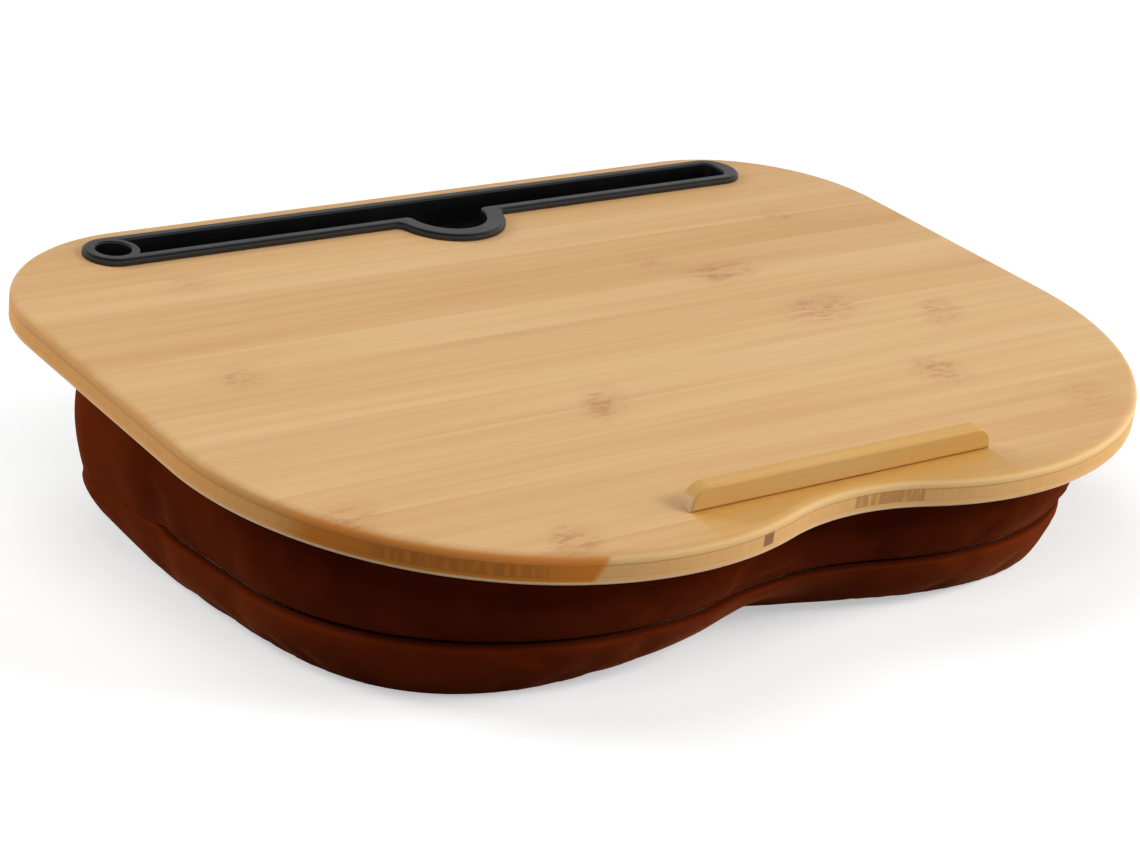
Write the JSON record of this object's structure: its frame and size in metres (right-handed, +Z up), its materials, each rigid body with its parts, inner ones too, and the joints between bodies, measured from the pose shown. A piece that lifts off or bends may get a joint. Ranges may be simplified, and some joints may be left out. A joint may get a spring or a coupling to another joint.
{
  "type": "cushioned lap desk",
  "caption": "Bamboo lap desk on a bead-filled fabric cushion, with a black slot tray with finger notch and pen hole along its back edge and a wooden stop ledge along its front edge.",
  "frame": {"origin": "centre of the bounding box, on the floor plane that the foot of the cushion rests on", "axes": "+X to the user's right along the slot, +Y away from the user, +Z up; the board leans 8 degrees, lower at the user"},
  "size_m": [0.44, 0.3288, 0.1164],
  "materials": {
    "bamboo_face": "satin lacquered bamboo",
    "bamboo_core": "lacquered cross-grain edge",
    "bamboo_back": "satin lacquered bamboo",
    "bamboo_ledge": "satin lacquered bamboo",
    "black_plastic": "satin moulded",
    "fibreboard": "raw hardboard",
    "cover_fabric": "brushed microfibre",
    "bead_fabric": "plain non-woven",
    "zinc_steel": "zinc plated"
  },
  "bodies": {
    "root": {"board_face_ply": "bamboo_face", "board_core_ply": "bamboo_core", "board_back_ply": "bamboo_back", "slot_tray": "black_plastic", "ledge": "bamboo_ledge", "ledge_screw_1": "zinc_steel", "ledge_screw_2": "zinc_steel", "base_panel": "fibreboard", "panel_screw_1": "zinc_steel", "panel_screw_2": "zinc_steel", "panel_screw_3": "zinc_steel", "panel_screw_4": "zinc_steel", "panel_screw_5": "zinc_steel", "panel_screw_6": "zinc_steel", "staple_01": "zinc_steel", "staple_02": "zinc_steel", "staple_03": "zinc_steel", "staple_04": "zinc_steel", "staple_05": "zinc_steel", "staple_06": "zinc_steel", "staple_07": "zinc_steel", "staple_08": "zinc_steel", "staple_09": "zinc_steel", "staple_10": "zinc_steel", "staple_11": "zinc_steel", "staple_12": "zinc_steel", "cover_band": "cover_fabric", "cover_bottom": "cover_fabric", "bead_bag": "bead_fabric"}
  },
  "joints": []
}
